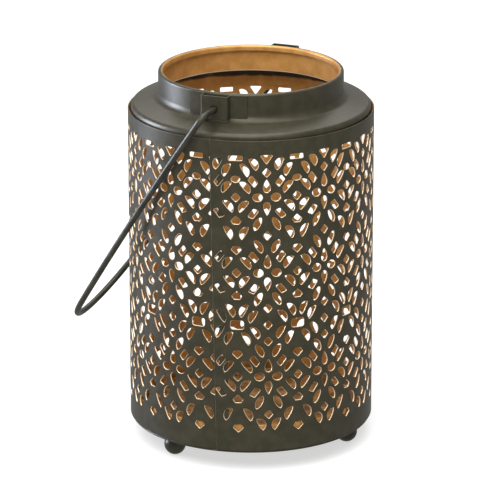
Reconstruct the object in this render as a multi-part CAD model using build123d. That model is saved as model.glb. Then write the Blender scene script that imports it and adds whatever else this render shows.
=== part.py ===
"""Perforated metal tealight lantern with a swinging wire bail, in millimetres.

+Z is up and the origin is on the body's axis, at the plane the ball feet stand on.
The bail's pivots lie on a line along Y. It rests on the body's wall towards -X.
"""

import math
import os

from build123d import *

# ---- driving dimensions -------------------------------------------------------------
SHEET = 0.7                 # thickness of the body, collar and pan sheet
FIT_GAP = 0.08              # paint film and play between nested sheets

BODY_RADIUS = 65.0          # outside of the rolled body
BODY_HEIGHT = 170.0
BODY_LIFT = 12.6            # lower edge of the body above the ground
LAP_WIDTH = 7.0             # how far the sheet runs on underneath itself
LAP_RAMP = 6.0              # degrees over which it steps inwards before the seam
SEAM_STEP = 0.3             # degrees before the seam at which the sheet has stepped in
SEAM_ANGLE = 1.6            # degrees from the front bracket to the outer sheet's edge

FOOT_DIAMETER = 11.6
FOOT_FLAT = 0.3             # depth of the flat that seats a foot on the pan
FOOT_CIRCLE = 54.0
FOOT_ANGLES = (-27.5, 92.5, 212.5)
SCREW_SHANK = 3.0
SCREW_HOLE = 3.4            # clearance hole in the pan
PILOT_HOLE = 3.1            # threaded hole in a foot
SCREW_HEAD = 6.0
SCREW_HEAD_HEIGHT = 1.8
SCREW_DEPTH = 7.0           # depth of the hole in a foot
SCREW_END_GAP = 0.5         # free depth below the screw's end
SCREW_SLOT = 0.8

PAN_WALL = 14.0
PAN_BEAD = 1.2              # height of the rolled lower edge that shows under the body
PAN_BEAD_RADIUS = 64.3
PAN_CORNER = 0.5

COLLAR_RISE = 20.3          # top of the lip above the body's top edge
NECK_RADIUS = 48.9
LIP_RADIUS = 1.3            # half the thickness of the rolled lip
HEM_DEPTH = 2.9
SHOULDER_EDGE = 2.54        # where the slope's line meets the skirt's, above the body
SHOULDER_ROOT = 6.25        # where the slope's line meets the neck's, above the body
SHOULDER_ROUND = 2.8
NECK_FILLET = 1.2
SKIRT_DEPTH = 6.0

BRACKET_HEIGHT = 12.6
BRACKET_LIFT = 7.2          # lower edge of a bracket above the body's top edge
BRACKET_RAISED = 15.0       # width of the raised middle
BRACKET_TAB = 8.5
BRACKET_STANDOFF = 4.0      # free depth behind the raised middle
BRACKET_SHEET = 0.8

WIRE = 3.2                  # bail wire
PIVOT_HOLE = 4.0
PIVOT_HEIGHT = 195.2
BAIL_HALF_SPAN = 70.0       # pivot axis crossing of a leg, from the middle plane
BAIL_REACH = 169.0          # pivot axis to the crown's centreline
BAIL_CROWN = 31.5           # centreline radius of the crown
CROWN_ANGLE = 23.4          # where a leg meets the crown, above the crown's diameter
BAIL_SLUMP = 55.0           # degrees below level at which the bail lies on the body
BAIL_ELBOW = 3.6
BAIL_HEAD = 5.2             # upset end that keeps the wire in its bracket
BAIL_HEAD_LENGTH = 1.2
BAIL_HEAD_PLAY = 0.3        # between a head and the inside of its bracket

# ---- perforation, as developed on the flat sheet ------------------------------------
PERIOD = 32.27              # from one star column to the next
PERIODS = 11
FIRST_STAR = 29.85          # first star column from the sheet's outer edge
COLUMN_LEAN = 0.58          # degrees by which the columns lean off the vertical, downwards
EDGE_MARGIN = 0.3           # metal left between a hole and the sheet's outer edge
LAP_PLAIN = 3.5             # unpunched strip along the sheet's inner end
PUNCH_INSIDE = 5.0          # reach of a hole's cut inside the body and outside it
PUNCH_OUTSIDE = 2.0
LAP_CLEAR = 4.0             # degrees past the lap from which a cut goes right through
STAR_ROWS = (30.3, 71.3, 128.5)     # depths below the body's top edge
SHORT_GAP_ROW = 50.6
LONG_GAP_ROW = 99.85
TOP_ROW = 10.0
BOTTOM_ROW = 155.6

BODY_TOP = BODY_LIFT + BODY_HEIGHT
COLLAR_TOP = BODY_TOP + COLLAR_RISE
PAN_UNDERSIDE = FOOT_DIAMETER - FOOT_FLAT
BODY_BORE = BODY_RADIUS - SHEET
LAP_OUTSIDE = BODY_BORE - FIT_GAP
NEST_RADIUS = LAP_OUTSIDE - SHEET - FIT_GAP     # collar skirt and pan wall fit in here
SHEET_LENGTH = 2 * math.pi * BODY_RADIUS + LAP_WIDTH
LAP_ANGLE = math.degrees(LAP_WIDTH / BODY_RADIUS)
BRACKET_FACE = NECK_RADIUS + BRACKET_STANDOFF + BRACKET_SHEET


def around(radius, angle, height=0.0):
    """Point at an angle in degrees from -Y, turning towards +X."""
    turn = math.radians(angle)
    return (radius * math.sin(turn), -radius * math.cos(turn), height)


def wall_plane(radius, angle, height):
    """Plane on the wall: local x runs round the body, y goes up and z points out."""
    turn = math.radians(angle)
    return Plane(
        origin=around(radius, angle, height),
        x_dir=(math.cos(turn), math.sin(turn), 0),
        z_dir=(math.sin(turn), -math.cos(turn), 0),
    )


def arc_between(radius, start, end):
    """Arc round the axis between two angles measured from -Y."""
    return CenterArc((0, 0), radius, start - 90, end - start)


def spun(outline):
    """Solid of revolution about Z from a closed outline drawn as radius and height."""
    return revolve(make_face(Plane.XZ * outline), Axis.Z)


# ---- hole outlines, centred on the origin with their long axis along x ---------------
def facets(*corners):
    """Straight-sided outline through the given corners."""
    return Polygon(*corners, align=None)


def leaf(length, width, belly=0.5):
    """Four-sided leaf; belly is the share of the width above the line of its tips."""
    half, high, low = length / 2, width * belly, -width * (1 - belly)
    return facets((-half, 0), (-half * 0.1, low), (half, 0), (half * 0.1, high))


def petal(length, width):
    """Teardrop with its tip towards +x."""
    side, back, tip = width / 2, -length / 2, length / 2
    return facets(
        (back, -side * 0.5), (back * 0.2, -side), (tip, 0), (back * 0.2, side), (back, side * 0.5)
    )


def slanted(length, width):
    """Parallelogram."""
    half, side, skew = length / 2, width / 2, width * 0.25
    return facets((-half, -side), (half - skew, -side), (half, side), (skew - half, side))


def diamond(width, height):
    """Square on its corner."""
    return facets((-width / 2, 0), (0, -height / 2), (width / 2, 0), (0, height / 2))


def shield(width, height):
    """Pointed at the bottom, blunt at the top."""
    side, low, high = width / 2, -height / 2, height / 2
    return facets((-side, 0), (0, low), (side, 0), (side * 0.5, high), (-side * 0.5, high))


def lens(width, height):
    """Full lens, its tips left and right."""
    side, high, flat = width / 2, height / 2, width * 0.2
    return facets(
        (-side, 0), (-flat, -high), (flat, -high), (side, 0), (flat, high), (-flat, high)
    )


def wedge(width, height):
    """Triangle that points down."""
    return facets((-width / 2, height / 2), (0, -height / 2), (width / 2, height / 2))


LEAF = leaf(7.6, 4.2, belly=0.7)
SLIM_LEAF = leaf(7.9, 4.3)
BEAN = leaf(7.1, 4.8, belly=0.7)
PETAL = petal(7.4, 3.9)
SLANTED = slanted(6.2, 3.2)
DIAMOND = diamond(5.1, 5.4)
SMALL_DIAMOND = diamond(4.9, 5.2)
SHIELD = shield(5.8, 4.7)
LENS = lens(5.4, 4.7)
SMALL_LENS = lens(4.9, 3.7)
WEDGE = wedge(6.7, 4.8)
BAR = Rectangle(7.2, 4.8)
TOP_BAR = Rectangle(7.4, 2.7)


def mirrored_pair(outline, offset, depth, tilt):
    """Two holes left and right of a column; the left one is the right one's mirror image."""
    right = (outline, offset, depth, tilt, False)
    left = (outline, -offset, depth, -tilt, True)
    return [right, left]


def star_holes(depth):
    """Eight holes round a star column's centre."""
    holes = [(PETAL, 0, depth - 6.2, 90, False), (PETAL, 0, depth + 6.2, -90, False)]
    holes += mirrored_pair(LENS, 4.75, depth, 0)
    holes += mirrored_pair(SLANTED, 7.15, depth - 8.7, 52)
    holes += mirrored_pair(SLANTED, 7.15, depth + 8.7, -52)
    return holes


def rosette_holes(depth, above=SHIELD, above_rise=12.3):
    """Diamond, four leaves round it and a shield above and below, between two stars."""
    holes = [(DIAMOND, 0, depth, 0, False)]
    holes += mirrored_pair(LEAF, 4.45, depth - 5.15, -50)
    holes += mirrored_pair(LEAF, 4.45, depth + 5.15, 50)
    holes += [(above, 0, depth - above_rise, 0, False), (SHIELD, 0, depth + 12.3, 180, False)]
    return holes


def star_column():
    """Holes of one star column, as outline, offset, depth, tilt and mirrored."""
    holes = []
    for row in STAR_ROWS:
        holes += star_holes(row)
        holes += mirrored_pair(SLIM_LEAF, 4.7, row + 14.4, -62)
    for row in STAR_ROWS[1:]:
        holes += mirrored_pair(SLIM_LEAF, 4.7, row - 14.4, 62)
    holes += [(WEDGE, 0, TOP_ROW, 0, False), (SMALL_DIAMOND, 0, TOP_ROW + 7.0, 0, False)]
    holes += mirrored_pair(BEAN, 7.3, TOP_ROW + 2.6, 60)
    holes += [(SMALL_DIAMOND, 0, SHORT_GAP_ROW + 0.5, 0, False)]
    holes += [(SMALL_DIAMOND, 0, LONG_GAP_ROW + step, 0, False) for step in (-9.1, 0, 9.1)]
    holes += mirrored_pair(LEAF, 7.3, LONG_GAP_ROW - 4.4, -58)
    holes += mirrored_pair(LEAF, 7.3, LONG_GAP_ROW + 4.4, 58)
    holes += [(SMALL_DIAMOND, 0, BOTTOM_ROW - 6.0, 0, False)]
    holes += mirrored_pair(BEAN, 4.7, BOTTOM_ROW - 0.5, 62)
    return holes


def rosette_column():
    """Holes of the column halfway between two star columns."""
    holes = rosette_holes(STAR_ROWS[0], SMALL_LENS, 9.8)
    holes += rosette_holes(STAR_ROWS[1]) + rosette_holes(STAR_ROWS[2])
    holes += [(TOP_BAR, 0, TOP_ROW - 0.8, 0, False)]
    holes += mirrored_pair(LEAF, 4.2, TOP_ROW + 5.8, -62)
    holes += mirrored_pair(LEAF, 4.7, SHORT_GAP_ROW - 0.9, 62)
    holes += [(BAR, 0, LONG_GAP_ROW, 0, False)]
    holes += mirrored_pair(LEAF, 4.0, LONG_GAP_ROW - 7.6, 62)
    holes += mirrored_pair(LEAF, 4.0, LONG_GAP_ROW + 7.6, -62)
    holes += mirrored_pair(LEAF, 4.7, BOTTOM_ROW - 5.9, -62)
    holes += [(SHIELD, 0, BOTTOM_ROW + 1.6, 0, False)]
    return holes


def punched_holes():
    """Every hole of the sheet, as turned outline, distance from the outer edge and depth."""
    lean = math.tan(math.radians(COLUMN_LEAN))
    holes = []
    for column in range(-1, PERIODS + 2):
        star = FIRST_STAR + PERIOD * column
        placed = [(star, star_column()), (star + PERIOD / 2, rosette_column())]
        for middle, motifs in placed:
            for outline, offset, depth, tilt, flipped in motifs:
                shape = outline.mirror(Plane.YZ) if flipped else outline
                shape = Rot(0, 0, tilt) * shape
                distance = middle + offset + depth * lean
                box = shape.bounding_box()
                past_edge = distance + box.min.X >= EDGE_MARGIN
                before_end = distance + box.max.X <= SHEET_LENGTH - LAP_PLAIN
                if past_edge and before_end:
                    holes.append((shape, distance, depth))
    return holes


def punch(shape, distance, depth):
    """Tool that cuts one hole through the rolled sheet."""
    angle = SEAM_ANGLE + math.degrees(distance / BODY_RADIUS)
    under_lap = angle > SEAM_ANGLE + 360
    over_lap = angle < SEAM_ANGLE + LAP_ANGLE + LAP_CLEAR
    between_layers = BODY_BORE - FIT_GAP / 2
    inner = between_layers if over_lap else BODY_RADIUS - PUNCH_INSIDE
    outer = between_layers if under_lap else BODY_RADIUS + PUNCH_OUTSIDE
    plane = wall_plane(inner, angle, BODY_TOP - depth)
    return extrude(plane * shape, outer - inner, dir=plane.z_dir)


def body_shell():
    """Rolled perforated sheet with a lapped vertical seam."""
    seam = SEAM_ANGLE
    ramp = seam + 360 - LAP_RAMP
    tuck = seam + 360 - SEAM_STEP
    end = seam + 360 + LAP_ANGLE
    inside = LAP_OUTSIDE - SHEET
    edges = arc_between(BODY_RADIUS, seam, ramp)
    edges += Line(around(BODY_RADIUS, ramp), around(LAP_OUTSIDE, tuck))
    edges += arc_between(LAP_OUTSIDE, tuck, end)
    edges += Line(around(LAP_OUTSIDE, end), around(inside, end))
    edges += arc_between(inside, end, tuck)
    edges += Line(around(inside, tuck), around(BODY_BORE, ramp))
    edges += arc_between(BODY_BORE, ramp, seam)
    edges += Line(around(BODY_BORE, seam), around(BODY_RADIUS, seam))
    sheet = extrude(Pos(0, 0, BODY_LIFT) * make_face(edges), BODY_HEIGHT)
    return sheet - [punch(*hole) for hole in punched_holes()]


def rounded_line(*corners):
    """Line through (x, y, radius) corners, each turned by an arc that meets its runs smoothly."""
    line = Curve()
    here = Vector(*corners[0][:2])
    for number, (x, y, radius) in enumerate(corners[1:-1], start=1):
        corner = Vector(x, y)
        back = (Vector(*corners[number - 1][:2]) - corner).normalized()
        ahead = (Vector(*corners[number + 1][:2]) - corner).normalized()
        half = math.radians(back.get_angle(ahead)) / 2
        reach = radius / math.tan(half)
        nearest = corner + (back + ahead).normalized() * (radius / math.sin(half) - radius)
        line += Line(here, corner + back * reach)
        here = corner + ahead * reach
        line += ThreePointArc(corner + back * reach, nearest, here)
    return line + Line(here, Vector(*corners[-1][:2]))


def top_collar():
    """Spun collar: rolled lip, neck, sloping shoulder and a skirt inside the body."""
    skirt_z = BODY_TOP - SKIRT_DEPTH
    edge_z = BODY_TOP + SHOULDER_EDGE
    root_z = BODY_TOP + SHOULDER_ROOT
    lip_z = COLLAR_TOP - LIP_RADIUS
    hem_z = COLLAR_TOP - HEM_DEPTH
    hem_radius = NECK_RADIUS - 2 * LIP_RADIUS
    neck_bore = NECK_RADIUS - SHEET
    skirt_bore = NEST_RADIUS - SHEET
    slope = (root_z - edge_z) / (NEST_RADIUS - NECK_RADIUS)
    below = SHEET * math.hypot(1, slope)    # sheet thickness, measured straight down the slope
    outline = rounded_line(
        (NEST_RADIUS, skirt_z, 0),
        (NEST_RADIUS, edge_z, SHOULDER_ROUND),
        (NECK_RADIUS, root_z, NECK_FILLET),
        (NECK_RADIUS, lip_z, 0),
    )
    outline += ThreePointArc(
        (NECK_RADIUS, lip_z), (NECK_RADIUS - LIP_RADIUS, COLLAR_TOP), (hem_radius, lip_z)
    )
    outline += Polyline((hem_radius, lip_z), (hem_radius, hem_z), (neck_bore, hem_z))
    outline += rounded_line(
        (neck_bore, hem_z, 0),
        (neck_bore, root_z + slope * SHEET - below, NECK_FILLET + SHEET),
        (skirt_bore, edge_z + slope * SHEET - below, SHOULDER_ROUND - SHEET),
        (skirt_bore, skirt_z, 0),
    )
    outline += Line((skirt_bore, skirt_z), (NEST_RADIUS, skirt_z))
    return spun(outline)


def base_pan():
    """Shallow tray inside the body, with a rolled lower edge that shows beneath it."""
    wall_top = BODY_LIFT + PAN_WALL
    bead_r = PAN_BEAD_RADIUS
    bead_top = PAN_UNDERSIDE + PAN_BEAD
    floor_top = PAN_UNDERSIDE + SHEET
    wall_in = NEST_RADIUS - SHEET
    outline = Polyline(
        (0, PAN_UNDERSIDE),
        (bead_r - PAN_CORNER, PAN_UNDERSIDE),
    )
    outline += ThreePointArc(
        (bead_r - PAN_CORNER, PAN_UNDERSIDE),
        (bead_r, (PAN_UNDERSIDE + bead_top) / 2),
        (bead_r - PAN_CORNER, bead_top),
    )
    outline += Polyline(
        (bead_r - PAN_CORNER, bead_top),
        (NEST_RADIUS, bead_top),
        (NEST_RADIUS, wall_top),
        (wall_in, wall_top),
        (wall_in, floor_top),
        (0, floor_top),
        (0, PAN_UNDERSIDE),
    )
    pan = spun(outline)
    holes = [
        Pos(*around(FOOT_CIRCLE, angle, PAN_UNDERSIDE)) * Cylinder(SCREW_HOLE / 2, 4 * SHEET)
        for angle in FOOT_ANGLES
    ]
    return pan - holes


def foot(angle):
    """Turned ball with a seat on top and a pilot hole for its screw."""
    radius = FOOT_DIAMETER / 2
    ball = Pos(0, 0, radius) * Sphere(radius)
    seat = Pos(0, 0, PAN_UNDERSIDE) * Box(
        FOOT_DIAMETER, FOOT_DIAMETER, FOOT_DIAMETER, align=(Align.CENTER, Align.CENTER, Align.MIN)
    )
    pilot = Pos(0, 0, PAN_UNDERSIDE) * Cylinder(
        PILOT_HOLE / 2, SCREW_DEPTH, align=(Align.CENTER, Align.CENTER, Align.MAX)
    )
    return Pos(*around(FOOT_CIRCLE, angle)) * (ball - seat - pilot)


def foot_screw(angle):
    """Slotted pan-head screw, driven down through the pan into a foot."""
    head_z = PAN_UNDERSIDE + SHEET
    shank_length = SCREW_DEPTH - SCREW_END_GAP + SHEET
    head = Pos(0, 0, head_z) * Cylinder(
        SCREW_HEAD / 2, SCREW_HEAD_HEIGHT, align=(Align.CENTER, Align.CENTER, Align.MIN)
    )
    head = fillet(head.edges().sort_by(Axis.Z)[-1], SCREW_HEAD_HEIGHT * 0.6)
    slot = Pos(0, 0, head_z + SCREW_HEAD_HEIGHT) * Box(SCREW_HEAD, SCREW_SLOT, SCREW_HEAD_HEIGHT)
    shank = Pos(0, 0, head_z) * Cylinder(
        SCREW_SHANK / 2, shank_length, align=(Align.CENTER, Align.CENTER, Align.MAX)
    )
    return Pos(*around(FOOT_CIRCLE, angle)) * Rot(0, 0, angle) * (head - slot + shank)


def bracket(front):
    """Hat-shaped strap: two tabs that follow the neck and a raised flat with the pivot hole."""
    neck_side = NECK_RADIUS + FIT_GAP / 2
    tab_out = neck_side + BRACKET_SHEET
    half = BRACKET_RAISED / 2
    tab_turn = math.degrees((BRACKET_TAB + half) / neck_side)
    inner_turn = math.degrees(math.asin((half - BRACKET_SHEET) / neck_side))
    outer_turn = math.degrees(math.asin(half / tab_out))
    face_in = -(BRACKET_FACE - BRACKET_SHEET)
    left, right = -half, half
    edges = arc_between(neck_side, inner_turn, tab_turn)
    edges += Line(around(neck_side, tab_turn), around(tab_out, tab_turn))
    edges += arc_between(tab_out, tab_turn, outer_turn)
    edges += Polyline(
        around(tab_out, outer_turn), (right, -BRACKET_FACE), (left, -BRACKET_FACE),
        around(tab_out, -outer_turn),
    )
    edges += arc_between(tab_out, -outer_turn, -tab_turn)
    edges += Line(around(tab_out, -tab_turn), around(neck_side, -tab_turn))
    edges += arc_between(neck_side, -tab_turn, -inner_turn)
    edges += Polyline(
        around(neck_side, -inner_turn), (left + BRACKET_SHEET, face_in),
        (right - BRACKET_SHEET, face_in), around(neck_side, inner_turn),
    )
    strap = extrude(Pos(0, 0, BODY_TOP + BRACKET_LIFT) * make_face(edges), BRACKET_HEIGHT)
    hole = Pos(0, -BRACKET_FACE, PIVOT_HEIGHT) * Rot(90, 0, 0) * Cylinder(PIVOT_HOLE / 2, 4 * SHEET)
    strap -= hole
    return strap if front else Rot(0, 0, 180) * strap


def bail_path():
    """Centreline of the bail, drawn flat: x runs away from the pivots, y along their axis."""
    turn = math.radians(CROWN_ANGLE)
    outward = Vector(math.sin(turn), math.cos(turn))
    crown_centre = Vector(BAIL_REACH - BAIL_CROWN, 0)
    joint = crown_centre + outward * BAIL_CROWN
    pivot = Vector(0, BAIL_HALF_SPAN)
    # the leg's arc meets the crown's without a kink and crosses the pivot axis
    chord = joint - pivot
    leg_radius = chord.length**2 / (2 * chord.dot(outward))
    leg_centre = joint - outward * leg_radius
    middle = leg_centre + ((pivot + joint) * 0.5 - leg_centre).normalized() * leg_radius
    inner_end = Vector(0, BRACKET_FACE - BRACKET_SHEET - BAIL_HEAD_LENGTH)

    def across(point):
        return (point.X, -point.Y)

    path = Line(across(inner_end), across(pivot))
    path += ThreePointArc(across(pivot), across(middle), across(joint))
    path += ThreePointArc(across(joint), (BAIL_REACH, 0), joint)
    path += ThreePointArc(joint, middle, pivot)
    path += Line(pivot, inner_end)
    elbows = [v for v in path.vertices() if abs(v.X) < 0.01 and abs(v.Y) > BAIL_HALF_SPAN - 1]
    return Wire(path.edges()).fillet_2d(BAIL_ELBOW, elbows)


def bail_handle():
    """Bent wire with upset ends inside the brackets, lying against the body."""
    path = bail_path()
    section = Plane(origin=path @ 0, z_dir=path % 0) * Circle(WIRE / 2)
    wire = sweep(section, path=path)
    head_y = BRACKET_FACE - BRACKET_SHEET - BAIL_HEAD_PLAY - BAIL_HEAD_LENGTH / 2
    head = Rot(90, 0, 0) * Cylinder(BAIL_HEAD / 2, BAIL_HEAD_LENGTH)
    wire += Pos(0, head_y, 0) * head
    wire += Pos(0, -head_y, 0) * head
    slump = math.radians(BAIL_SLUMP)
    hung = Plane(
        origin=(0, 0, PIVOT_HEIGHT),
        x_dir=(-math.cos(slump), 0, -math.sin(slump)),
        z_dir=(math.sin(slump), 0, -math.cos(slump)),
    )
    return hung * wire


def parts_list():
    """Every piece under the name of its node."""
    pieces = {
        "top_collar": top_collar(),
        "base_pan": base_pan(),
        "bracket_front": bracket(front=True),
        "bracket_rear": bracket(front=False),
        "bail_handle": bail_handle(),
    }
    for number, angle in enumerate(FOOT_ANGLES, start=1):
        pieces[f"ball_foot_{number}"] = foot(angle)
        pieces[f"foot_screw_{number}"] = foot_screw(angle)
    pieces["body_shell"] = body_shell()
    return pieces


def main():
    os.makedirs("parts", exist_ok=True)
    for node, shape in parts_list().items():
        export_step(shape, f"parts/{node}.step")


main()
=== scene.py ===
"""Looks of the perforated metal tealight lantern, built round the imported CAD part.

Flat patterns and profiles are in millimetres; meshes, lights and the camera are in metres.
"""

import math

import bpy
import numpy as np
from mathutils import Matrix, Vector, geometry


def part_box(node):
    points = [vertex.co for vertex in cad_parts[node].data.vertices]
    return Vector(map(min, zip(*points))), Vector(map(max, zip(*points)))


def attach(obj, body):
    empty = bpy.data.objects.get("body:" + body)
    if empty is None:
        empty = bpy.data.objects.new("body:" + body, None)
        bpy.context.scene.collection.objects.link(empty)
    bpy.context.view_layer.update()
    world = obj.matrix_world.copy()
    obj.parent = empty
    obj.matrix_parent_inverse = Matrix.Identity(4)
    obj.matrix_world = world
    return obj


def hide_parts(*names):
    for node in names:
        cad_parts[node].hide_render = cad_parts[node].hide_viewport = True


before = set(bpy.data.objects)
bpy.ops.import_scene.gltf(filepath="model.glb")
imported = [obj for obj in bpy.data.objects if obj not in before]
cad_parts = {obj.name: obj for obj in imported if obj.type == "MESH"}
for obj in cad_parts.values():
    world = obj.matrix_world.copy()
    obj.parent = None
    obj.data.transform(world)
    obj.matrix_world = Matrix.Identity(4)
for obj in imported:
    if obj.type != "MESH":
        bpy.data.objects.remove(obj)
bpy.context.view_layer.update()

MM = 0.001

# ---- places read from the CAD frame, in millimetres ---------------------------------
BODY_LOW, BODY_HIGH = [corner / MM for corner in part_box("body_shell")]
COLLAR_LOW, COLLAR_HIGH = [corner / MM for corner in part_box("top_collar")]
PAN_LOW, PAN_HIGH = [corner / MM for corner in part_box("base_pan")]
BRACKET_LOW, BRACKET_HIGH = [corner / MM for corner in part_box("bracket_front")]
FOOT_NODES = ("ball_foot_1", "ball_foot_2", "ball_foot_3")
FEET = {node: [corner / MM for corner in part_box(node)] for node in FOOT_NODES}
PIVOT_DROP = 0.9            # pivot below the middle of the bracket's height
PIVOT_HEIGHT = (BRACKET_LOW.z + BRACKET_HIGH.z) / 2 - PIVOT_DROP

# ---- sheet metal --------------------------------------------------------------------
SHEET = 0.7
FIT_GAP = 0.08
BODY_RADIUS = BODY_HIGH.x
BODY_TOP = BODY_HIGH.z
BODY_HEIGHT = BODY_HIGH.z - BODY_LOW.z
LAP_WIDTH = 7.0
LAP_RAMP = 6.0              # degrees over which the sheet steps inwards before the seam
SEAM_ANGLE = 1.6            # degrees from the front bracket to the sheet's outer edge
SHEET_LENGTH = 2 * math.pi * BODY_RADIUS + LAP_WIDTH
PUNCH_ROUND = 0.13          # rounding of punched edges
SHEARED_ROUND = 0.3         # rounding of the sheet's outer edges
PUNCH_TAPER = 0.18          # how much nearer to its middle a hole's wall is at the back
RIM_STEP = 2.5              # spacing of the points along the sheet's outer edges
SLIVER = 1e-6               # flat triangles on a loop's own straight side have no area

# ---- perforation, as on the flat sheet ----------------------------------------------
PERIOD = 32.27              # from one column of stars to the next
PERIODS = 11
FIRST_STAR = 29.85          # first column's distance from the sheet's outer edge
SEAM_LEAN = math.tan(math.radians(1.15))        # drift of the sheet round the body, per depth
COLUMN_LEAN = math.tan(math.radians(0.58)) - SEAM_LEAN
EDGE_MARGIN = 0.3           # plain metal left beside a hole at either end of the sheet
STAR_ROWS = (30.3, 71.3, 128.5)                 # depths below the sheet's upper edge
SHORT_GAP_ROW = 50.6
LONG_GAP_ROW = 99.85
TOP_ROW = 10.0
BOTTOM_ROW = 155.6

# ---- collar, pan and feet -------------------------------------------------------------
NECK_RADIUS = 48.9
LIP_RADIUS = 1.3
HEM_DEPTH = 2.9
SHOULDER_FOOT = 2.54        # where the slope's line meets the skirt's, above the body
SHOULDER_TOP = 6.25         # where the slope's line meets the neck's, above the body
SHOULDER_ROUND = 2.8
NECK_FLARE = 4.5            # rounding at the neck's foot on the outside
NECK_CREASE = 0.3           # and on the inside
PROFILE_STEP = 0.5          # spacing of the points down the collar's inside
BEAD_HEIGHT = 1.2
BEAD_ROUND = 0.58
PAN_EDGE_ROUND = 0.2
PAN_CORNER_ROUND = 1.2
PILOT_RADIUS = 1.55
PILOT_DEPTH = 7.0
FOOT_ROWS = 32

# ---- brackets and bail ----------------------------------------------------------------
STRAP = 0.8
STRAP_STANDOFF = 4.0
STRAP_RAISED = 15.0
STRAP_TAB = 8.5
STRAP_FOLD = 1.1            # outer radius of the two folds in front
STRAP_JOG = 0.45            # radius of the folds next to the tabs
STRAP_GRID = 0.45           # spacing of the points over a bracket
GRID_MARGIN = 0.7           # nearest grid point to a bracket's edge
DIMPLE_HEIGHT = 2.2
DIMPLE_INSET = 0.48         # share of the tab's length from its end to its weld dimple
DIMPLE_DEPTH = 0.45
DIMPLE_RADIUS = 0.9
PIVOT_HOLE = 2.0
WIRE = 1.6
HEAD_RADIUS = 2.6
HEAD_LENGTH = 1.2
HEAD_PLAY = 0.3             # between a head and the inside of its bracket
BAIL_HALF_SPAN = 70.0
BAIL_REACH = 169.0
BAIL_CROWN = 31.5           # radius of the crown
CROWN_ANGLE = 23.4          # degrees by which the legs close in where they meet the crown
BAIL_SLUMP = 55.0           # degrees below level
BAIL_ELBOW = 3.6

# ---- paint -----------------------------------------------------------------------------
OLIVE = (0.038, 0.034, 0.020)
OLIVE_FADED = (0.050, 0.045, 0.028)
OLIVE_SPECK = (0.088, 0.080, 0.055)
GOLD = (0.47, 0.235, 0.062)
GOLD_LIGHT = (0.585, 0.312, 0.095)
GOLD_SPECK = (0.66, 0.43, 0.19)
# pale metal of cut edges, brightened as a painted highlight
BARE_METAL_AND_HIGHLIGHT = (0.95, 0.85, 0.68)
WIRE_DARK = (0.026, 0.024, 0.017)
WIRE_RUBBED = (0.044, 0.041, 0.029)
STEEL_DARK = (0.20, 0.15, 0.09)
STEEL_LIGHT = (0.34, 0.26, 0.16)
FLOOR_DARK = (0.48, 0.48, 0.48)
FLOOR_LIGHT = (0.52, 0.52, 0.52)
WHITE = (1.0, 1.0, 1.0, 1.0)
SEAM_EDGE_HIGHLIGHT = 0.7             # strength of the painted highlight along the sheet's outer end
PAN_FLOOR_SHADE_GOLD = 0.5        # share of gold on the pan's floor; the olive mixed in is painted shade
SHADED_GOLD = 0.25          # least share of gold under the shoulder; the olive mixed in is painted shade
SHADE_FADE = 3.5            # height over which the painted shade deepens to that
LIP_GOLD_START = 1.1        # inwards from the neck's outside to where the gold begins
LIP_GOLD_FADE = 1.2
CREASE_ABOVE = 0.7          # height of the painted highlight band on the crease in the neck
CREASE_BELOW = 0.2


# ---- flat outlines -------------------------------------------------------------------
def oval(length, width, belly=0.5, sharp=1.15, count=16):
    """Leaf outline; belly is the share of the width above the line between the tips."""
    points = []
    for step in range(count):
        turn = 2 * math.pi * step / count
        side = belly if turn < math.pi else 1 - belly
        lift = math.copysign(abs(math.sin(turn)) ** sharp, math.sin(turn))
        points.append((length / 2 * math.cos(turn), width * side * lift))
    return points


def teardrop(length, width, count=16):
    """Teardrop with its tip towards +x."""
    widest = 0.77       # largest value of sin(turn) * sin(turn / 2)
    points = []
    for step in range(count):
        turn = 2 * math.pi * step / count
        side = width / 2 * math.sin(turn) * math.sin(turn / 2) / widest
        points.append((length / 2 * math.cos(turn), side))
    return points


def rounded_path(corners, closed=False, arc_step=12.0):
    """Points along straight runs between (x, y, radius) corners, an arc at each corner."""
    points = []
    for index, (x, y, radius) in enumerate(corners):
        here = Vector((x, y))
        at_end = not closed and index in (0, len(corners) - 1)
        if radius == 0 or at_end:
            points.append(tuple(here))
            continue
        back = (Vector(corners[index - 1][:2]) - here).normalized()
        on = (Vector(corners[(index + 1) % len(corners)][:2]) - here).normalized()
        half = math.acos(max(-1.0, min(1.0, back.dot(on)))) / 2
        centre = here + (back + on).normalized() * (radius / math.sin(half))
        start = here + back * (radius / math.tan(half)) - centre
        end = here + on * (radius / math.tan(half)) - centre
        first = math.atan2(start.y, start.x)
        sweep = math.atan2(start.x * end.y - start.y * end.x, start.dot(end))
        steps = max(1, round(abs(math.degrees(sweep)) / arc_step))
        for step in range(steps + 1):
            angle = first + sweep * step / steps
            x = centre.x + radius * math.cos(angle)
            y = centre.y + radius * math.sin(angle)
            points.append((x, y))
    return points


def rounded(corners, radius, arc_step=30.0):
    """Closed outline with one rounding radius."""
    return rounded_path([(x, y, radius) for x, y in corners], closed=True, arc_step=arc_step)


def box_corners(width, height):
    """Corners of a rectangle round the origin, anticlockwise."""
    x, y = width / 2, height / 2
    return [(-x, -y), (x, -y), (x, y), (-x, y)]


def diamond_corners(width, height):
    """Corners of a square on its corner, anticlockwise."""
    return [(-width / 2, 0), (0, -height / 2), (width / 2, 0), (0, height / 2)]


def slanted(length, width):
    """Rounded parallelogram."""
    half, side, skew = length / 2, width / 2, width * 0.25
    return rounded([(-half, -side), (half - skew, -side), (half, side), (skew - half, side)], 0.7)


def shield(width, height):
    """Pointed below, rounded above."""
    side, low, high = width / 2, -height / 2, height / 2
    corners = [(-side, 0.3), (0, low - 0.2), (side, 0.3), (side * 0.55, high), (-side * 0.55, high)]
    return rounded(corners, 0.6)


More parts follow.
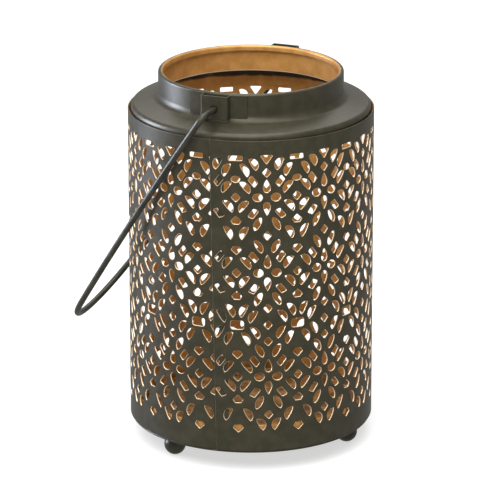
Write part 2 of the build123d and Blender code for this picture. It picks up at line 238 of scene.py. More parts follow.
LEAF = oval(7.9, 3.7, belly=0.82)
SLIM_LEAF = oval(8.0, 3.7, belly=0.6)
BEAN = oval(7.3, 4.1, belly=0.8)
PETAL = teardrop(7.5, 4.0)
SLANTED = slanted(6.4, 3.3)
DIAMOND = rounded(diamond_corners(5.4, 5.7), 0.9)
SMALL_DIAMOND = rounded(diamond_corners(5.1, 5.5), 0.7)
SHIELD = shield(5.9, 4.6)
LENS = oval(5.5, 4.7, sharp=1.05)
SMALL_LENS = oval(5.1, 3.7, sharp=1.05)
WEDGE = rounded([(-3.7, 2.5), (0, -2.8), (3.7, 2.5)], 0.6, arc_step=25.0)
BAR = rounded(box_corners(7.4, 5.0), 1.5, arc_step=22.5)
TOP_BAR = rounded(box_corners(7.5, 2.8), 0.7)


# ---- layout of the perforation --------------------------------------------------------
# A hole is (outline, offset from its column, depth below the sheet's upper edge, tilt in
# degrees, mirrored).
def mirrored_pair(outline, offset, depth, tilt):
    """Two holes left and right of a column; the left one mirrors the right one."""
    return [(outline, offset, depth, tilt, False), (outline, -offset, depth, -tilt, True)]


def star_holes(depth):
    """Eight holes round a star column's centre."""
    holes = [(PETAL, 0, depth - 6.2, 90, False), (PETAL, 0, depth + 6.2, -90, False)]
    holes += mirrored_pair(LENS, 4.75, depth, 0)
    holes += mirrored_pair(SLANTED, 7.15, depth - 8.7, 52)
    holes += mirrored_pair(SLANTED, 7.15, depth + 8.7, -52)
    return holes


def rosette_holes(depth, above=SHIELD, above_rise=12.3):
    """Diamond, four leaves round it and a shield above and below, between two stars."""
    holes = [(DIAMOND, 0, depth, 0, False)]
    holes += mirrored_pair(LEAF, 4.45, depth - 5.15, -50)
    holes += mirrored_pair(LEAF, 4.45, depth + 5.15, 50)
    holes += [(above, 0, depth - above_rise, 0, False), (SHIELD, 0, depth + 12.3, 180, False)]
    return holes


def star_column():
    """Holes of one star column."""
    holes = []
    for row in STAR_ROWS:
        holes += star_holes(row)
        holes += mirrored_pair(SLIM_LEAF, 4.7, row + 14.4, -62)
    for row in STAR_ROWS[1:]:
        holes += mirrored_pair(SLIM_LEAF, 4.7, row - 14.4, 62)
    holes += [(WEDGE, 0, TOP_ROW, 0, False), (SMALL_DIAMOND, 0, TOP_ROW + 7.0, 0, False)]
    holes += mirrored_pair(BEAN, 7.3, TOP_ROW + 2.6, 60)
    holes += [(SMALL_DIAMOND, 0, SHORT_GAP_ROW + 0.5, 0, False)]
    holes += [(SMALL_DIAMOND, 0, LONG_GAP_ROW + step, 0, False) for step in (-9.1, 0, 9.1)]
    holes += mirrored_pair(LEAF, 7.3, LONG_GAP_ROW - 4.4, -58)
    holes += mirrored_pair(LEAF, 7.3, LONG_GAP_ROW + 4.4, 58)
    holes += [(SMALL_DIAMOND, 0, BOTTOM_ROW - 6.0, 0, False)]
    holes += mirrored_pair(BEAN, 4.7, BOTTOM_ROW - 0.5, 62)
    return holes


def rosette_column():
    """Holes of the column halfway between two star columns."""
    holes = rosette_holes(STAR_ROWS[0], SMALL_LENS, 9.8)
    holes += rosette_holes(STAR_ROWS[1]) + rosette_holes(STAR_ROWS[2])
    holes += [(TOP_BAR, 0, TOP_ROW - 0.8, 0, False)]
    holes += mirrored_pair(LEAF, 4.2, TOP_ROW + 5.8, -62)
    holes += mirrored_pair(LEAF, 4.7, SHORT_GAP_ROW - 0.9, 62)
    holes += [(BAR, 0, LONG_GAP_ROW, 0, False)]
    holes += mirrored_pair(LEAF, 4.0, LONG_GAP_ROW - 7.6, 62)
    holes += mirrored_pair(LEAF, 4.0, LONG_GAP_ROW + 7.6, -62)
    holes += mirrored_pair(LEAF, 4.7, BOTTOM_ROW - 5.9, -62)
    holes += [(SHIELD, 0, BOTTOM_ROW + 1.6, 0, False)]
    return holes


def punched_loops():
    """Outline of every hole on the flat sheet: x from the outer edge, y up from the lower edge."""
    loops = []
    for column in range(-1, PERIODS + 2):
        star = FIRST_STAR + PERIOD * column
        for middle, motifs in ((star, star_column()), (star + PERIOD / 2, rosette_column())):
            for outline, offset, depth, tilt, flipped in motifs:
                across = middle + offset + depth * COLUMN_LEAN
                shape = np.array(outline)
                if flipped:
                    shape = shape[::-1] * (-1, 1)
                loop = shape @ spin(tilt) + (across, BODY_HEIGHT - depth)
                past_edge = loop[:, 0].min() >= EDGE_MARGIN
                if past_edge and loop[:, 0].max() <= SHEET_LENGTH - EDGE_MARGIN:
                    loops.append(loop)
    return loops


def spin(tilt):
    """Matrix that turns rows of flat points anticlockwise by tilt degrees."""
    turn = math.radians(tilt)
    return np.array([[math.cos(turn), math.sin(turn)], [-math.sin(turn), math.cos(turn)]])


# ---- mesh builders --------------------------------------------------------------------
def add_mesh(name, points, faces, values):
    """Smooth mesh object from points in millimetres, with named numbers kept on its points."""
    mesh = bpy.data.meshes.new(name)
    mesh.from_pydata(np.asarray(points) * MM, [], faces)
    for key, numbers in values.items():
        layer = mesh.attributes.new(key, "FLOAT", "POINT")
        layer.data.foreach_set("value", np.asarray(numbers, np.float32))
    mesh.shade_smooth()
    obj = bpy.data.objects.new(name, mesh)
    bpy.context.scene.collection.objects.link(obj)
    return obj


def loop_normals(loop):
    """Unit normals of a closed flat loop that point to its left, seen along the loop."""
    ahead = np.roll(loop, -1, axis=0) - loop
    ahead /= np.linalg.norm(ahead, axis=1)[:, None]
    mean = ahead + np.roll(ahead, 1, axis=0)
    mean /= np.linalg.norm(mean, axis=1)[:, None]
    return np.stack([-mean[:, 1], mean[:, 0]], axis=1)


def cross(a, b, c):
    """Twice the signed area of a flat triangle."""
    return (b[0] - a[0]) * (c[1] - a[1]) - (b[1] - a[1]) * (c[0] - a[0])


def inside_loop(point, loop):
    """Whether a flat point lies inside a closed loop."""
    ahead = np.roll(loop, -1, axis=0)
    crossed = (loop[:, 1] > point[1]) != (ahead[:, 1] > point[1])
    run, rise = (ahead - loop).T
    with np.errstate(divide="ignore", invalid="ignore"):
        at = loop[:, 0] + (point[1] - loop[:, 1]) * run / rise
    return bool(np.count_nonzero(crossed & (point[0] < at)) % 2)


def pressed_sheet(name, rim, holes, thickness, place, two_tone=True, loose=()):
    """Sheet metal cut flat and bent to shape.

    rim and holes are flat loops, anticlockwise; place(flat, depth) gives points in space for
    flat positions, at a depth below the front. Cut edges are rounded in front and behind, and
    a hole's wall tapers towards the back. loose holds more flat points for the mesh.
    """
    loops = [np.asarray(rim)] + [np.asarray(hole) for hole in holes]
    # into the metal: left of the rim's direction of travel, right of a hole's
    inward = [loop_normals(loop) * (1 if index == 0 else -1) for index, loop in enumerate(loops)]
    cut = np.concatenate(loops)
    into = np.concatenate(inward)
    extra = np.asarray(loose, float).reshape(-1, 2)
    sizes = [len(loop) for loop in loops]
    corner = np.repeat([SHEARED_ROUND] + [PUNCH_ROUND] * len(holes), sizes)
    taper = np.repeat([0.0] + [PUNCH_TAPER] * len(holes), sizes)
    narrow = cut - into * taper[:, None]
    flat = np.concatenate([cut + into * corner[:, None], extra])
    flat_back = np.concatenate([narrow + into * corner[:, None], extra])
    edges = []
    start = 0
    for loop in loops:
        last = start + len(loop) - 1
        edges += [(k, k + 1) for k in range(start, last)] + [(last, start)]
        start = last + 1
    found = geometry.delaunay_2d_cdt([Vector(p) for p in flat], edges, [], 1, 1e-6, True)
    original = [ids[0] for ids in found[3]]
    owner = np.full(len(flat), -1)
    owner[:len(cut)] = np.repeat(np.arange(len(loops)), sizes)
    triangles = []
    for face in found[2]:
        corners = [original[k] for k in face]
        loop = owner[corners[0]]
        if loop >= 0 and all(owner[k] == loop for k in corners):
            within = inside_loop(flat[corners].mean(axis=0), flat[owner == loop])
            sliver = abs(cross(*flat[corners])) < SLIVER
            if sliver or within != (loop == 0):
                continue
        triangles.append(corners)

    total, ring = len(flat), len(cut)
    front, back, upper, lower = 0, total, 2 * total, 2 * total + ring
    points = np.concatenate([
        place(flat, np.zeros(total)),
        place(flat_back, np.full(total, thickness)),
        place(cut, corner),
        place(narrow, thickness - corner),
    ])
    outward = place(flat, np.zeros(total)) - place(flat, np.full(total, 1.0))
    side = place(cut - into, corner) - place(cut, corner)
    side += outward[:ring] * (taper / thickness)[:, None]
    normals = np.concatenate([outward, -outward, side, side])
    normals /= np.linalg.norm(normals, axis=1)[:, None]

    faces = []
    for a, b, c in triangles:
        faces.append((a, b, c))
        faces.append((back + a, back + c, back + b))
    for a, b in edges:
        if owner[a] > 0:
            a, b = b, a
        faces.append((front + b, front + a, upper + a, upper + b))
        faces.append((upper + b, upper + a, lower + a, lower + b))
        faces.append((lower + b, lower + a, back + a, back + b))
    punched = (owner[:ring] > 0).astype(float)
    # pale line along the sheet's outer end: a painted highlight
    seam_highlight = SEAM_EDGE_HIGHLIGHT * ((owner[:ring] == 0) & (cut[:, 0] < 0.01))
    gold = np.concatenate([np.zeros(total), np.ones(total), 0.6 * punched, 0.3 + 0.7 * punched])
    # pale cut edges of the holes: the bare metal, brightened as a painted highlight
    bare_edge_and_highlight = np.concatenate([np.zeros(2 * total), 0.6 * punched + seam_highlight, punched + seam_highlight])
    if not two_tone:
        gold = gold * 0
        bare_edge_and_highlight = np.concatenate([np.zeros(2 * total), seam_highlight, seam_highlight])
    obj = add_mesh(name, points, faces, {"gold": gold, "bare_edge_and_highlight": bare_edge_and_highlight})
    obj.data.normals_split_custom_set_from_vertices(normals.tolist())
    return obj


def lathe(name, profile, segments=192, centre=(0.0, 0.0), gold=None, bare_edge_and_highlight=None, sharp=40.0):
    """Closed solid of revolution; profile holds (radius, height), anticlockwise seen in r-z."""
    rows = []
    points, golds, cuts, faces = [], [], [], []
    for index, (radius, height) in enumerate(profile):
        on_axis = radius < 1e-6
        count = 1 if on_axis else segments
        rows.append((len(points), count))
        for step in range(count):
            turn = 2 * math.pi * step / segments
            points.append((
                centre[0] + radius * math.cos(turn), centre[1] + radius * math.sin(turn), height
            ))
        golds += [0.0 if gold is None else gold[index]] * count
        cuts += [0.0 if bare_edge_and_highlight is None else bare_edge_and_highlight[index]] * count
    closed = profile[0][0] > 1e-6 or profile[-1][0] > 1e-6
    for index in range(len(rows) if closed else len(rows) - 1):
        (a, a_count), (b, b_count) = rows[index], rows[(index + 1) % len(rows)]
        for step in range(segments):
            on = (step + 1) % segments
            if a_count == 1 and b_count == 1:
                continue
            if a_count == 1:
                faces.append((a, b + on, b + step))
            elif b_count == 1:
                faces.append((a + step, a + on, b))
            else:
                faces.append((a + step, a + on, b + on, b + step))
    obj = add_mesh(name, points, faces, {"gold": golds, "bare_edge_and_highlight": cuts})
    obj.data.set_sharp_from_angle(angle=math.radians(sharp))
    return obj


def sheet_profile(path, thickness):
    """Closed profile of sheet metal whose outside follows path, its inside to the left."""
    path = np.asarray(path)
    before = np.diff(path, axis=0)
    before /= np.linalg.norm(before, axis=1)[:, None]
    ahead = np.concatenate([before[:1], before[:-1] + before[1:], before[-1:]])
    ahead /= np.linalg.norm(ahead, axis=1)[:, None]
    left = np.stack([-ahead[:, 1], ahead[:, 0]], axis=1)
    # a mitre keeps the thickness at a bend
    spread = np.ones(len(path))
    spread[1:-1] = 1 / np.clip((ahead[1:-1] * before[1:]).sum(axis=1), 0.5, 1)
    return path, path + left * (thickness * spread)[:, None]


def subdivided(path, step):
    """The same path with points at most a step apart."""
    points = [path[0]]
    for here, there in zip(path[:-1], path[1:]):
        runs = max(1, math.ceil(np.linalg.norm(there - here) / step))
        points += [here + (there - here) * k / runs for k in range(1, runs + 1)]
    return np.array(points)


def tube(name, centreline, radii, sides=24):
    """Round bar along a flat centreline in space, with a radius for each of its points."""
    line = np.asarray(centreline)
    ahead = np.gradient(line, axis=0)
    ahead /= np.linalg.norm(ahead, axis=1)[:, None]
    across = np.cross(line[len(line) // 4] - line[0], line[len(line) // 2] - line[0])
    across /= np.linalg.norm(across)
    other = np.cross(across, ahead)
    points, faces = [], []
    for step in range(len(line)):
        for side in range(sides):
            turn = 2 * math.pi * side / sides
            spoke = across * math.cos(turn) + other[step] * math.sin(turn)
            points.append(line[step] + spoke * radii[step])
    for step in range(len(line) - 1):
        for side in range(sides):
            on = (side + 1) % sides
            a, b = step * sides, (step + 1) * sides
            faces.append((a + side, a + on, b + on, b + side))
    faces.append(tuple(range(sides))[::-1])
    faces.append(tuple(range(len(points) - sides, len(points))))
    unpainted = [0.0] * len(points)
    obj = add_mesh(name, points, faces, {"gold": unpainted, "bare_edge_and_highlight": unpainted})
    obj.data.set_sharp_from_angle(angle=math.radians(40))
    return obj


# ---- rolled body ----------------------------------------------------------------------
def rolled(flat, depth):
    """Point of the rolled body for a place on the flat sheet."""
    flat = np.asarray(flat)
    degrees = np.degrees(flat[:, 0] / BODY_RADIUS)
    tucked = np.clip((degrees - (360 - LAP_RAMP)) / (LAP_RAMP - 0.3), 0, 1)
    tucked = tucked * tucked * (3 - 2 * tucked)
    radius = BODY_RADIUS - tucked * (SHEET + FIT_GAP) - depth
    turn = np.radians(SEAM_ANGLE + degrees) + (BODY_HEIGHT - flat[:, 1]) * SEAM_LEAN / BODY_RADIUS
    return np.stack([
        radius * np.sin(turn), -radius * np.cos(turn), BODY_LOW.z + flat[:, 1]
    ], axis=1)


def rectangle_rim(width, height, step):
    """Rectangle from the origin as a loop of closely spaced points, anticlockwise."""
    wide = np.linspace(0, width, max(2, round(width / step)) + 1)[:-1]
    tall = np.linspace(0, height, max(2, round(height / step)) + 1)[:-1]
    return np.concatenate([
        np.stack([wide, np.zeros(len(wide))], axis=1),
        np.stack([np.full(len(tall), width), tall], axis=1),
        np.stack([width - wide, np.full(len(wide), height)], axis=1),
        np.stack([np.zeros(len(tall)), height - tall], axis=1),
    ])


def body():
    """Punched sheet rolled to a cylinder, its inner end tucked under the outer one."""
    rim = rectangle_rim(SHEET_LENGTH, BODY_HEIGHT, RIM_STEP)
    return pressed_sheet("pierced_body", rim, punched_loops(), SHEET, rolled)


# ---- collar, pan and feet ---------------------------------------------------------------
def collar_path(neck_round):
    """Outside of the collar from the skirt's lower edge to the hem inside the lip."""
    inner_lip = NECK_RADIUS - 2 * LIP_RADIUS
    return rounded_path([
        (COLLAR_HIGH.x, COLLAR_LOW.z, 0),
        (COLLAR_HIGH.x, BODY_TOP + SHOULDER_FOOT, SHOULDER_ROUND),
        (NECK_RADIUS, BODY_TOP + SHOULDER_TOP, neck_round),
        (NECK_RADIUS, COLLAR_HIGH.z, LIP_RADIUS - 0.001),
        (inner_lip, COLLAR_HIGH.z, LIP_RADIUS - 0.001),
        (inner_lip, COLLAR_HIGH.z - HEM_DEPTH, 0),
    ], arc_step=9.0)


def collar():
    """Spun collar whose lip is curled inwards; it flares outside and is creased inside."""
    outer = sheet_profile(collar_path(NECK_FLARE), SHEET)[0]
    inner = sheet_profile(collar_path(NECK_CREASE), SHEET)[1][::-1]
    inner = subdivided(inner, PROFILE_STEP)
    gold = [lip_gold(r, z) for r, z in outer] + [inside_gold_and_shade(r, z) for r, z in inner]
    # pale crease inside the neck: a painted highlight
    crease = [0.0] * len(outer) + [crease_highlight(r, z) for r, z in inner]
    return lathe("collar", np.concatenate([outer, inner]), gold=gold, bare_edge_and_highlight=crease)


def lip_gold(radius, height):
    """How much of the inside's gold spray reaches a point of the collar's outside."""
    if height < COLLAR_HIGH.z - 2 * LIP_RADIUS and radius > NECK_RADIUS - 0.1:
        return 0.0
    return float(np.clip((NECK_RADIUS - LIP_GOLD_START - radius) / LIP_GOLD_FADE, 0, 1))


def inside_gold_and_shade(radius, height):
    """Gold spray inside the collar, mixed towards the olive under the shoulder as painted shade."""
    if radius < NECK_RADIUS:
        return 1.0
    # below the shoulder the gold mixes towards olive: painted shade
    return float(np.clip((BODY_TOP + 0.5 - height) / SHADE_FADE, SHADED_GOLD, 1))


def crease_highlight(radius, height):
    """Pale colour on the crease between the neck and the shoulder, a painted highlight."""
    above_crease = height - (BODY_TOP + SHOULDER_TOP - SHEET)
    on_crease = -CREASE_BELOW < above_crease < CREASE_ABOVE
    return 1.0 if on_crease and radius < NECK_RADIUS + NECK_CREASE else 0.0


def pan():
    """Shallow tray with a rounded bead that shows below the body."""
    bead_top = PAN_LOW.z + BEAD_HEIGHT
    wall = COLLAR_HIGH.x
    profile = rounded_path([
        (0, PAN_LOW.z, 0),
        (PAN_HIGH.x, PAN_LOW.z, BEAD_ROUND),
        (PAN_HIGH.x, bead_top, BEAD_ROUND),
        (wall, bead_top, 0.1),
        (wall, PAN_HIGH.z, PAN_EDGE_ROUND),
        (wall - SHEET, PAN_HIGH.z, PAN_EDGE_ROUND),
        (wall - SHEET, PAN_LOW.z + SHEET, PAN_CORNER_ROUND),
        (0, PAN_LOW.z + SHEET, 0),
    ], arc_step=15.0)
    gold = [pan_gold_and_shade(r, z, bead_top) for r, z in profile]
    return lathe("base_tray", profile, gold=gold)


def pan_gold_and_shade(radius, height, bead_top):
    """Gold on the pan's wall; on its floor mixed halfway with olive as painted shade; none below.
    """
    if height > bead_top + 1:
        return 1.0
    on_floor = radius < COLLAR_HIGH.x - SHEET + 0.1 and height > PAN_LOW.z + 0.3
    # the floor's gold mixed with olive is painted shade
    return PAN_FLOOR_SHADE_GOLD if on_floor else 0.0


def foot(number, low, high):
    """Turned ball with a seat and a pilot bore for its screw."""
    centre = ((low.x + high.x) / 2, (low.y + high.y) / 2)
    radius = (high.x - low.x) / 2
    seat = high.z - low.z - radius
    top_angle = math.degrees(math.asin(seat / radius))
    profile = [(0.0, low.z)]
    for step in range(1, FOOT_ROWS + 1):
        angle = math.radians(-90 + (90 + top_angle) * step / FOOT_ROWS)
        profile.append((radius * math.cos(angle), low.z + radius + radius * math.sin(angle)))
    pilot_end = high.z - PILOT_DEPTH
    profile += [(PILOT_RADIUS, high.z), (PILOT_RADIUS, pilot_end), (0.0, pilot_end)]
    return lathe(f"foot_{number}", profile, segments=64, centre=centre)


# ---- brackets and bail --------------------------------------------------------------------
def strap_path():
    """Front face of a bracket from the left tab to the right one, looking from above."""
    tab_radius = NECK_RADIUS + FIT_GAP / 2 + STRAP
    half = STRAP_RAISED / 2
    face = NECK_RADIUS + STRAP_STANDOFF + STRAP
    outer = (STRAP_TAB + half) / (tab_radius - STRAP)
    inner = math.asin(half / tab_radius)
    tab = [outer + (inner - outer) * step / 6 for step in range(7)]
    right = [(tab_radius * math.sin(a), -tab_radius * math.cos(a), 0) for a in tab]
    right[-1] = right[-1][:2] + (STRAP_JOG,)
    left = [(-x, y, r) for x, y, r in right]
    front = [(-half, -face, STRAP_FOLD), (half, -face, STRAP_FOLD)]
    return np.array(rounded_path(left + front + right[::-1], arc_step=12.0))


def bracket(name, rear):
    """Hat-shaped strap with a pivot hole and a weld dimple in each tab."""
    path = strap_path()
    runs = np.linalg.norm(np.diff(path, axis=0), axis=1)
    along = np.concatenate([[0], np.cumsum(runs)])
    steps = np.diff(path, axis=0) / runs[:, None]
    tangent = np.concatenate([steps[:1], steps[:-1] + steps[1:], steps[-1:]])
    tangent /= np.linalg.norm(tangent, axis=1)[:, None]
    length = along[-1]
    height = BRACKET_HIGH.z - BRACKET_LOW.z
    inset = STRAP_TAB * DIMPLE_INSET
    dimples = [(inset, DIMPLE_HEIGHT), (length - inset, DIMPLE_HEIGHT)]
    flip = -1.0 if rear else 1.0

    def strap(flat, depth):
        """Point of the bent strap for a place on the flat one."""
        flat = np.asarray(flat)
        sunk = depth.copy()
        for x, y in dimples:
            distance = np.hypot(flat[:, 0] - x, flat[:, 1] - y)
            dip = DIMPLE_DEPTH * np.exp(-((distance / DIMPLE_RADIUS) ** 2))
            sunk = sunk + dip * (depth < STRAP / 2)
        x = np.interp(flat[:, 0], along, path[:, 0])
        y = np.interp(flat[:, 0], along, path[:, 1])
        tx = np.interp(flat[:, 0], along, tangent[:, 0])
        ty = np.interp(flat[:, 0], along, tangent[:, 1])
        size = np.hypot(tx, ty)
        nx, ny = ty / size, -tx / size
        return np.stack([
            flip * (x - nx * sunk), flip * (y - ny * sunk), BRACKET_LOW.z + flat[:, 1]
        ], axis=1)

    turns = np.linspace(0, 2 * math.pi, 49)[:-1]
    middle = np.array([length / 2, PIVOT_HEIGHT - BRACKET_LOW.z])
    hole = middle + PIVOT_HOLE * np.stack([np.cos(turns), np.sin(turns)], axis=1)
    wide = np.arange(GRID_MARGIN, length - 0.5, STRAP_GRID)
    tall = np.arange(GRID_MARGIN, height - 0.5, STRAP_GRID)
    grid = np.array([(x, y) for x in wide for y in tall])
    clear = np.hypot(*(grid - middle).T) > PIVOT_HOLE + 0.4
    rim = rectangle_rim(length, height, STRAP_GRID)
    return pressed_sheet(name, rim, [hole], STRAP, strap, two_tone=False, loose=grid[clear])


def bail_line():
    """Centreline of the bail drawn flat: x away from the pivots, y along their axis."""
    turn = math.radians(CROWN_ANGLE)
    outward = Vector((math.sin(turn), math.cos(turn)))
    crown = Vector((BAIL_REACH - BAIL_CROWN, 0))
    joint = crown + outward * BAIL_CROWN
    pivot = Vector((0, BAIL_HALF_SPAN))
    chord = joint - pivot
    leg_radius = chord.length_squared / (2 * chord.dot(outward))
    leg_centre = joint - outward * leg_radius
    first = math.atan2(*(joint - leg_centre).yx)
    last = math.atan2(*(pivot - leg_centre).yx)
    leg = []
    for step in range(1, 60):
        angle = first + (last - first) * step / 60
        leg.append(leg_centre + leg_radius * Vector((math.cos(angle), math.sin(angle))))
    leg = [p for p in leg if (p - pivot).length > BAIL_ELBOW * 1.6]
    inner_end = Vector((0, -BRACKET_LOW.y - STRAP - HEAD_PLAY - HEAD_LENGTH))
    half = [(*inner_end, 0), (*pivot, BAIL_ELBOW)] + [(*p, 0) for p in leg[::-1]]
    half = rounded_path(half + [(*joint, 0)], arc_step=6.0)
    crown_arc = []
    for step in range(1, 48):
        angle = math.radians(90 - CROWN_ANGLE) * (1 - step / 24)
        crown_arc.append((crown.x + BAIL_CROWN * math.cos(angle), BAIL_CROWN * math.sin(angle)))
    mirrored = [(x, -y) for x, y in half[::-1]]
    return half + crown_arc + mirrored


def bail():
    """Bent wire whose ends are upset inside the brackets."""
    flat = bail_line()
    slump = math.radians(BAIL_SLUMP)
    end = flat[0][1]
    # distance from a rim of the head, and how far its edge is rounded off there
    rim = ((0.0, 0.3), (0.12, 0.08), (0.3, 0.0))
    head = [(along, HEAD_RADIUS - cut) for along, cut in rim]
    head += [(HEAD_LENGTH - along, HEAD_RADIUS - cut) for along, cut in rim[::-1]]
    steps = [along for along, size in head] + [HEAD_LENGTH + 0.01, HEAD_LENGTH + 0.5]
    inward = [(0.0, end + step) for step in steps]
    flat = inward + flat[1:-1] + [(x, -y) for x, y in inward[::-1]]
    line = [(-x * math.cos(slump), y, PIVOT_HEIGHT - x * math.sin(slump)) for x, y in flat]
    sizes = [size for along, size in head]
    radii = sizes + [WIRE] * (len(line) - 2 * len(sizes)) + sizes[::-1]
    return tube("bail", line, radii)


# ---- materials ------------------------------------------------------------------------------
class Paint:
    """A Principled material under construction, with object coordinates at hand."""

    def __init__(self, name):
        self.material = bpy.data.materials.new(name)
        self.material.use_nodes = True
        self.tree = self.material.node_tree
        self.shader = self.tree.nodes["Principled BSDF"]
        self.place = self.tree.nodes.new("ShaderNodeTexCoord").outputs["Object"]

    def join(self, source, target):
        self.tree.links.new(source, target)

    def noise(self, scale, detail):
        """Cloudy noise from 0 to 1; the scale is in waves per metre."""
        node = self.tree.nodes.new("ShaderNodeTexNoise")
        node.inputs["Scale"].default_value = scale
        node.inputs["Detail"].default_value = detail
        self.join(self.place, node.inputs["Vector"])
        return node.outputs["Fac"]

    def spread(self, source, low, high, out_low=0.0, out_high=1.0):
        """Range low to high of a socket, eased onto out_low to out_high."""
        node = self.tree.nodes.new("ShaderNodeMapRange")
        node.interpolation_type = "SMOOTHSTEP"
        for socket, value in zip(node.inputs[1:5], (low, high, out_low, out_high)):
            socket.default_value = value
        self.join(source, node.inputs[0])
        return node.outputs[0]

    def sum(self, first, second, weight=1.0):
        """first + second * weight"""
        node = self.tree.nodes.new("ShaderNodeMath")
        node.operation = "MULTIPLY_ADD"
        self.join(second, node.inputs[0])
        node.inputs[1].default_value = weight
        self.join(first, node.inputs[2])
        return node.outputs[0]

    def blend(self, factor, first, second):
        """Mix of two colours or colour sockets."""
        node = self.tree.nodes.new("ShaderNodeMix")
        node.data_type = "RGBA"
        self.join(factor, node.inputs[0])
        for socket, value in ((node.inputs[6], first), (node.inputs[7], second)):
            if isinstance(value, tuple):
                socket.default_value = (*value, 1.0)
            else:
                self.join(value, socket)
        return node.outputs[2]

    def mark(self, name):
        """Number kept on the mesh's points under a name."""
        node = self.tree.nodes.new("ShaderNodeAttribute")
        node.attribute_name = name
        return node.outputs["Fac"]

    def bump(self, height, distance, below=None):
        """Normal of a rough skin, laid over another one if that is given."""
        node = self.tree.nodes.new("ShaderNodeBump")
        node.inputs["Distance"].default_value = distance
        self.join(height, node.inputs["Height"])
        if below is not None:
            self.join(below, node.inputs["Normal"])
        return node.outputs["Normal"]

    def finish(self, **sockets):
        """Sets or joins the shader's sockets by name and gives the finished material."""
        for name, value in sockets.items():
            socket = self.shader.inputs[name.replace("_", " ")]
            if isinstance(value, bpy.types.NodeSocket):
                self.join(value, socket)
            else:
                socket.default_value = value
        return self.material


def two_tone_paint():
    """Satin olive outside and antique gold inside; pale metal on cut edges, brightened as a painted
    highlight.
    """
    paint = Paint("two_tone_paint")
    broad = paint.noise(28.0, 2.0)
    cloud = paint.noise(160.0, 4.0)
    grain = paint.noise(1500.0, 2.0)
    olive = paint.blend(paint.spread(cloud, 0.3, 0.7), OLIVE, OLIVE_FADED)
    olive = paint.blend(paint.spread(grain, 0.64, 0.8), olive, OLIVE_SPECK)
    gold = paint.blend(paint.spread(cloud, 0.3, 0.7), GOLD, GOLD_LIGHT)
    gold = paint.blend(paint.spread(grain, 0.6, 0.8), gold, GOLD_SPECK)
    reach = paint.sum(paint.mark("gold"), cloud, 0.5)
    inside = paint.spread(reach, 0.55, 0.95)
    colour = paint.blend(inside, olive, gold)
    # pale cut edges, crease and seam: partly bare metal, partly painted highlight
    bare_and_highlight = paint.spread(paint.mark("bare_edge_and_highlight"), 0.35, 1.0, 0.0, 0.95)
    colour = paint.blend(bare_and_highlight, colour, BARE_METAL_AND_HIGHLIGHT)
    rough = paint.sum(paint.spread(inside, 0, 1, 0.34, 0.40), cloud, 0.12)
    metal = paint.spread(inside, 0, 1, 0.30, 0.38)
    dents = paint.bump(broad, 0.0006)
    skin = paint.bump(grain, 0.00002, dents)
    return paint.finish(
        Base_Color=colour, Roughness=rough, Metallic=metal, Normal=skin, Specular_IOR_Level=0.25
    )


def wire_paint():
    """Dark satin paint, rubbed to a duller grey in places."""
    paint = Paint("wire_paint")
    cloud = paint.noise(120.0, 4.0)
    grain = paint.noise(1300.0, 2.0)
    colour = paint.blend(paint.spread(cloud, 0.35, 0.7), WIRE_DARK, WIRE_RUBBED)
    rough = paint.sum(paint.spread(cloud, 0.3, 0.7, 0.28, 0.38), grain, 0.1)
    return paint.finish(
        Base_Color=colour, Roughness=rough, Metallic=0.2, Normal=paint.bump(grain, 0.00003),
        Specular_IOR_Level=0.25,
    )


def screw_metal():
    """Dull plated steel."""
    paint = Paint("screw_metal")
    cloud = paint.noise(500.0, 4.0)
    colour = paint.blend(paint.spread(cloud, 0.3, 0.7), STEEL_DARK, STEEL_LIGHT)
    rough = paint.spread(cloud, 0.2, 0.8, 0.35, 0.55)
    return paint.finish(
        Base_Color=colour, Roughness=rough, Metallic=0.9, Normal=paint.bump(cloud, 0.00004)
    )


def floor_white():
    """Pale board that glows a little, like a light table."""
    paint = Paint("floor_white")
    colour = paint.blend(paint.noise(3.0, 2.0), FLOOR_DARK, FLOOR_LIGHT)
    return paint.finish(
        Base_Color=colour, Roughness=0.9, Emission_Color=WHITE, Emission_Strength=0.6
    )


# ---- put together ---------------------------------------------------------------------------
def show(piece, material, body_name, slot, *nodes):
    """Gives a piece its material, hangs it on its body and hides the CAD nodes it stands for."""
    piece.data.materials.clear()
    piece.data.materials.append(material)
    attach(piece, body_name)
    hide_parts(*nodes)


TWO_TONE, WIRE_PAINT, SCREW = two_tone_paint(), wire_paint(), screw_metal()
show(body(), TWO_TONE, "lantern", "pierced_sheet", "body_shell")
show(collar(), TWO_TONE, "lantern", "collar_sheet", "top_collar")
show(pan(), TWO_TONE, "lantern", "pan_sheet", "base_pan")
show(bracket("front_bracket", False), TWO_TONE, "lantern", "bracket_strap", "bracket_front")
show(bracket("rear_bracket", True), TWO_TONE, "lantern", "bracket_strap", "bracket_rear")
show(bail(), WIRE_PAINT, "bail", "bail_wire", "bail_handle")
for node, (low, high) in FEET.items():
    number = node[-1]
    show(foot(number, low, high), WIRE_PAINT, "lantern", "foot_ball", node)
    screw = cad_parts[f"foot_screw_{number}"]
    for slot in screw.material_slots:
        slot.material = SCREW

# ---- floor, light and camera ------------------------------------------------------------------
FLOOR_SIZE = 18000
floor_points = [(x, y, 0) for x, y in box_corners(FLOOR_SIZE, FLOOR_SIZE)]
floor = add_mesh("floor", floor_points, [(0, 1, 2, 3)], {})
floor.data.materials.append(floor_white())
floor.visible_glossy = False

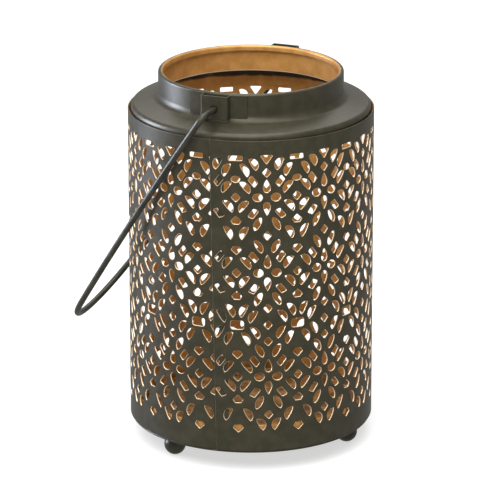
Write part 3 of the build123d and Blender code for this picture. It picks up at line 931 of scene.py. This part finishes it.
world = bpy.data.worlds.new("studio")
world.use_nodes = True
background = world.node_tree.nodes["Background"]
background.inputs["Color"].default_value = WHITE
background.inputs["Strength"].default_value = 0.42
bpy.context.scene.world = world


MIDDLE = Vector((0.0, 0.0, 0.1))        # what every light faces
WARM_WHITE = (1.0, 0.99, 0.97)
COOL_WHITE = (0.97, 0.98, 1.0)
SKY_BLUE = (0.70, 0.78, 1.0)


def softbox(name, place, width, height, power, colour, glint_only=True):
    """Rectangular area light in watts; a glint light shows only as a highlight."""
    light = bpy.data.lights.new(name, "AREA")
    light.shape = "RECTANGLE"
    light.size, light.size_y = width, height
    light.energy = power
    light.color = colour
    obj = bpy.data.objects.new(name, light)
    obj.location = place
    obj.rotation_euler = (MIDDLE - Vector(place)).to_track_quat("-Z", "Y").to_euler()
    obj.visible_diffuse = not glint_only
    bpy.context.scene.collection.objects.link(obj)


softbox("key_softbox", (0.1, -1.15, 2.1), 2.2, 2.2, 88.0, WARM_WHITE, glint_only=False)
softbox("left_glint", (-0.95, -0.13, 0.26), 0.34, 0.5, 23.0, SKY_BLUE)
softbox("back_glint", (-0.55, 1.4, 1.75), 2.0, 1.3, 24.0, COOL_WHITE)
softbox("top_glint", (-0.05, 0.35, 2.2), 1.4, 0.9, 26.0, WARM_WHITE)

VIEW_TURN = math.radians(20.95)         # the camera's place, round the object from the front
VIEW_DISTANCE = 2.0
VIEW_HEIGHT = 0.7685
AIM_TILT = math.radians(71.58)          # the way it faces, from straight down
AIM_TURN = math.radians(20.965)
FOCAL_LENGTH = 284.35
SENSOR_WIDTH = 36.0
camera = bpy.data.cameras.new("camera")
camera.lens = FOCAL_LENGTH
camera.sensor_width = SENSOR_WIDTH
camera_object = bpy.data.objects.new("camera", camera)
camera_object.location = (
    VIEW_DISTANCE * math.sin(VIEW_TURN), -VIEW_DISTANCE * math.cos(VIEW_TURN), VIEW_HEIGHT
)
camera_object.rotation_euler = (AIM_TILT, 0.0, AIM_TURN)
bpy.context.scene.collection.objects.link(camera_object)
bpy.context.scene.camera = camera_object
bpy.context.scene.view_settings.view_transform = "Standard"
